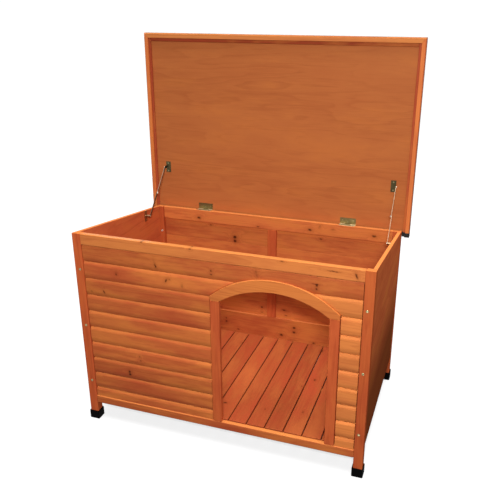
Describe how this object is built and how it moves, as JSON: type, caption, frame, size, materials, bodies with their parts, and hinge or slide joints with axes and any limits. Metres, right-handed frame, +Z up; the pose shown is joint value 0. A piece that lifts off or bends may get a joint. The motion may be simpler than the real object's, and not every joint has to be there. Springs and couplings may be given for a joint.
{
  "type": "dog house",
  "caption": "Wooden dog house with an arched doorway, sloping flat roof that hinges open at the rear on folding stays, and a raised slatted floor.",
  "frame": {"origin": "on the ground under the middle of the open house", "axes": "+Z up, -Y out of the doorway, +X to the right seen from the front"},
  "size_m": [1.04, 0.6496, 1.2953],
  "materials": {
    "stained_pine": "orange-brown satin stain on pine",
    "stained_side": "orange-brown satin stain on a smooth panel",
    "stained_ply": "orange-brown satin stain on plywood with a wavy grain",
    "stained_floor": "orange-brown stain on floor boards",
    "foot_plastic": "black moulded plastic",
    "roofing_felt": "black bitumen roofing felt",
    "zinc_hinge": "yellow zinc plate",
    "brass_hinge": "dull yellow zinc plate",
    "zinc_stay": "zinc plate",
    "zinc_screw": "zinc plate"
  },
  "bodies": {
    "house": {"post_front_left": "stained_pine", "post_front_right": "stained_pine", "post_rear_left": "stained_pine", "post_rear_right": "stained_pine", "foot_caps": "foot_plastic", "front_top_rail": "stained_pine", "front_bottom_rail": "stained_pine", "front_board_01": "stained_pine", "front_board_left_02": "stained_pine", "front_board_left_03": "stained_pine", "front_board_left_04": "stained_pine", "front_board_left_05": "stained_pine", "front_board_left_06": "stained_pine", "front_board_left_07": "stained_pine", "front_board_left_08": "stained_pine", "front_board_left_09": "stained_pine", "front_board_left_10": "stained_pine", "front_boards_right": "stained_pine", "door_jamb_left": "stained_pine", "door_jamb_right": "stained_pine", "door_arch": "stained_pine", "side_panel_left": "stained_side", "side_panel_right": "stained_side", "back_boards": "stained_pine", "back_top_rail": "stained_pine", "back_batten": "stained_pine", "back_kick_board": "stained_pine", "floor_boards": "stained_floor", "floor_cleats": "stained_pine", "floor_joist": "stained_pine", "floor_side_bearers": "stained_pine", "hinge_wall_leaves": "zinc_hinge", "hinge_pins": "zinc_screw", "hinge_wall_screws": "zinc_screw", "stay_wall_brackets": "zinc_stay", "stay_wall_rivets": "zinc_screw", "stay_wall_screws": "zinc_screw", "post_screws": "zinc_screw"},
    "lid": {"lid_panel": "stained_ply", "lid_rail_left": "stained_pine", "lid_rail_right": "stained_pine", "lid_rail_front": "stained_pine", "lid_batten_left": "stained_pine", "lid_batten_right": "stained_pine", "lid_batten_front": "stained_pine", "roof_felt": "roofing_felt", "hinge_lid_leaves": "brass_hinge", "hinge_lid_screws": "zinc_screw", "stay_lid_bracket_left": "zinc_stay", "stay_lid_bracket_right": "zinc_stay", "stay_lid_rivets": "zinc_screw", "stay_lid_screws": "zinc_screw"},
    "stay_lower_left": {"stay_lower_arm_left": "zinc_stay"},
    "stay_lower_right": {"stay_lower_arm_right": "zinc_stay"},
    "stay_upper_left": {"stay_upper_arm_left": "zinc_stay", "stay_elbow_rivet_left": "zinc_screw"},
    "stay_upper_right": {"stay_upper_arm_right": "zinc_stay", "stay_elbow_rivet_right": "zinc_screw"}
  },
  "joints": [
    {"name": "lid_hinge", "type": "hinge", "parent": "house", "child": "lid", "pos_m": [0, 0.3077, 0.61879], "axis": [1, 0, 0], "range_deg": [0, 81.91]},
    {"name": "stay_lower_pivot_left", "type": "hinge", "parent": "house", "child": "stay_lower_left", "pos_m": [-0.46035, 0.1547, 0.6206], "axis": [1, 0, 0], "range_deg": [-57.08, 0]},
    {"name": "stay_upper_pivot_left", "type": "hinge", "parent": "lid", "child": "stay_upper_left", "pos_m": [-0.45855, 0.30033, 0.78286], "axis": [1, 0, 0], "range_deg": [0, 35.87]},
    {"name": "stay_lower_pivot_right", "type": "hinge", "parent": "house", "child": "stay_lower_right", "pos_m": [0.46035, 0.1547, 0.6206], "axis": [1, 0, 0], "range_deg": [-57.08, 0]},
    {"name": "stay_upper_pivot_right", "type": "hinge", "parent": "lid", "child": "stay_upper_right", "pos_m": [0.45855, 0.30033, 0.78286], "axis": [1, 0, 0], "range_deg": [0, 35.87]}
  ],
  "couplings": [
    {"joint": "stay_lower_pivot_left", "follows": "lid_hinge", "ratio": -0.6907},
    {"joint": "stay_upper_pivot_left", "follows": "lid_hinge", "ratio": 0.4318},
    {"joint": "stay_lower_pivot_right", "follows": "lid_hinge", "ratio": -0.6907},
    {"joint": "stay_upper_pivot_right", "follows": "lid_hinge", "ratio": 0.4318}
  ]
}
